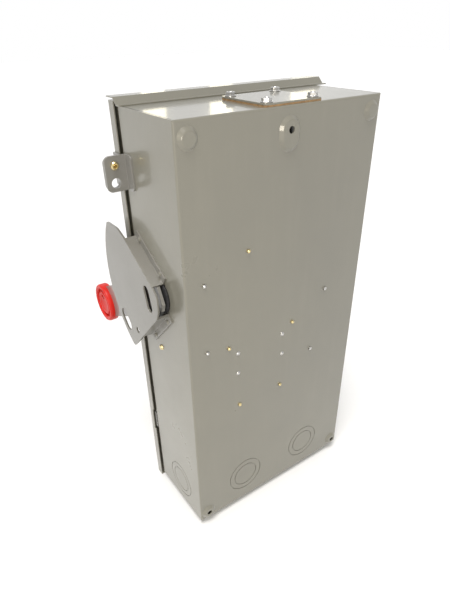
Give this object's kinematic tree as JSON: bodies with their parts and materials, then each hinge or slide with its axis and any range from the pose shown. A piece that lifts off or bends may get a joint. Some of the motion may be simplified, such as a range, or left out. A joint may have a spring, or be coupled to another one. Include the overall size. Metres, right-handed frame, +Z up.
{
  "type": "ac disconnect box",
  "caption": "Wall-hung rainproof fused safety switch: folded steel box, hinged cover, side handle in a guard that swings coupled knife blades inside.",
  "frame": {"origin": "centre of the top mounting hole, on the plane of the wall", "axes": "+Z up, +Y into the wall, +X towards the handle side"},
  "size_m": [0.3525, 0.2842, 0.6354],
  "materials": {
    "grey_paint": "semi-gloss baked enamel over galvanised sheet",
    "dark_grey_paint": "semi-gloss enamel",
    "gasket": "matt closed-cell gasket",
    "zinc": "bright zinc plate",
    "yellow_zinc": "yellow chromate zinc plate",
    "green_zinc": "green dyed plate",
    "black_plastic": "moulded, fine texture",
    "brown_plastic": "moulded glass polyester",
    "red_plastic": "moulded, satin",
    "fibre": "vulcanised fibre",
    "clear_plastic": "clear polycarbonate",
    "lug_aluminium": "tin-plated extrusion",
    "copper": "tin-flashed copper",
    "black_steel": "oiled spring steel"
  },
  "bodies": {
    "box": {"box_back": "grey_paint", "box_right_wall": "grey_paint", "box_left_wall": "grey_paint", "box_roof": "grey_paint", "box_floor": "grey_paint", "drip_hood": "grey_paint", "hub_gasket": "gasket", "hub_plate": "grey_paint", "hub_screws": "zinc", "cover_catch": "zinc", "hinge_box_leaves": "zinc", "hinge_pins": "zinc", "hasp_bracket": "dark_grey_paint", "hasp_nut": "yellow_zinc", "handle_guard": "grey_paint", "guard_rivets": "grey_paint", "shaft_bearing": "black_plastic", "mechanism_frame": "zinc", "frame_screws": "zinc", "interlock_pin": "zinc", "rotor_post": "black_plastic", "load_plate": "zinc", "plate_rivets": "zinc", "line_base": "brown_plastic", "fuse_base": "brown_plastic", "base_screws": "yellow_zinc", "line_lugs": "lug_aluminium", "line_lug_screws": "zinc", "load_lugs": "lug_aluminium", "load_lug_screws": "zinc", "line_jaws": "copper", "load_jaws": "copper", "upper_fuse_clips": "copper", "lower_fuse_clips": "copper", "arc_chutes": "fibre", "line_shield": "clear_plastic", "ground_bar": "lug_aluminium", "ground_bar_screws": "green_zinc", "ground_lug": "lug_aluminium", "ground_lug_screw": "zinc", "ground_fixings": "zinc", "side_screw": "yellow_zinc"},
    "cover": {"cover_panel": "grey_paint", "hinge_cover_leaves": "zinc", "cover_hasp": "dark_grey_paint", "captive_screw": "yellow_zinc", "interlock_tab": "zinc"},
    "handle": {"handle_arm": "dark_grey_paint", "handle_grip": "red_plastic", "grip_screw": "zinc", "operating_shaft": "zinc", "retaining_ring": "black_steel", "drive_crank": "zinc", "drive_spring": "black_steel", "interlock_cam": "zinc"},
    "rotor": {"blade_crossbar": "black_plastic", "switch_blades": "copper"},
    "interlock": {"interlock_lever": "zinc"}
  },
  "joints": [
    {"name": "cover_hinge", "type": "hinge", "parent": "box", "child": "cover", "pos_m": [-0.166, -0.14, -0.281], "axis": [0, 0, -1], "range_deg": [0, 120]},
    {"name": "handle_turn", "type": "hinge", "parent": "box", "child": "handle", "pos_m": [0.152, -0.069, -0.195], "axis": [-1, 0, 0], "range_deg": [-18, 57]},
    {"name": "rotor_turn", "type": "hinge", "parent": "box", "child": "rotor", "pos_m": [0.035, -0.069, -0.195], "axis": [-1, 0, 0], "range_deg": [-18, 57]},
    {"name": "interlock_turn", "type": "hinge", "parent": "box", "child": "interlock", "pos_m": [0.1405, -0.083, -0.153], "axis": [-1, 0, 0], "range_deg": [-5.8, 1.9]}
  ],
  "couplings": [
    {"joint": "rotor_turn", "follows": "handle_turn", "ratio": 1},
    {"joint": "interlock_turn", "follows": "handle_turn", "ratio": -0.1}
  ]
}
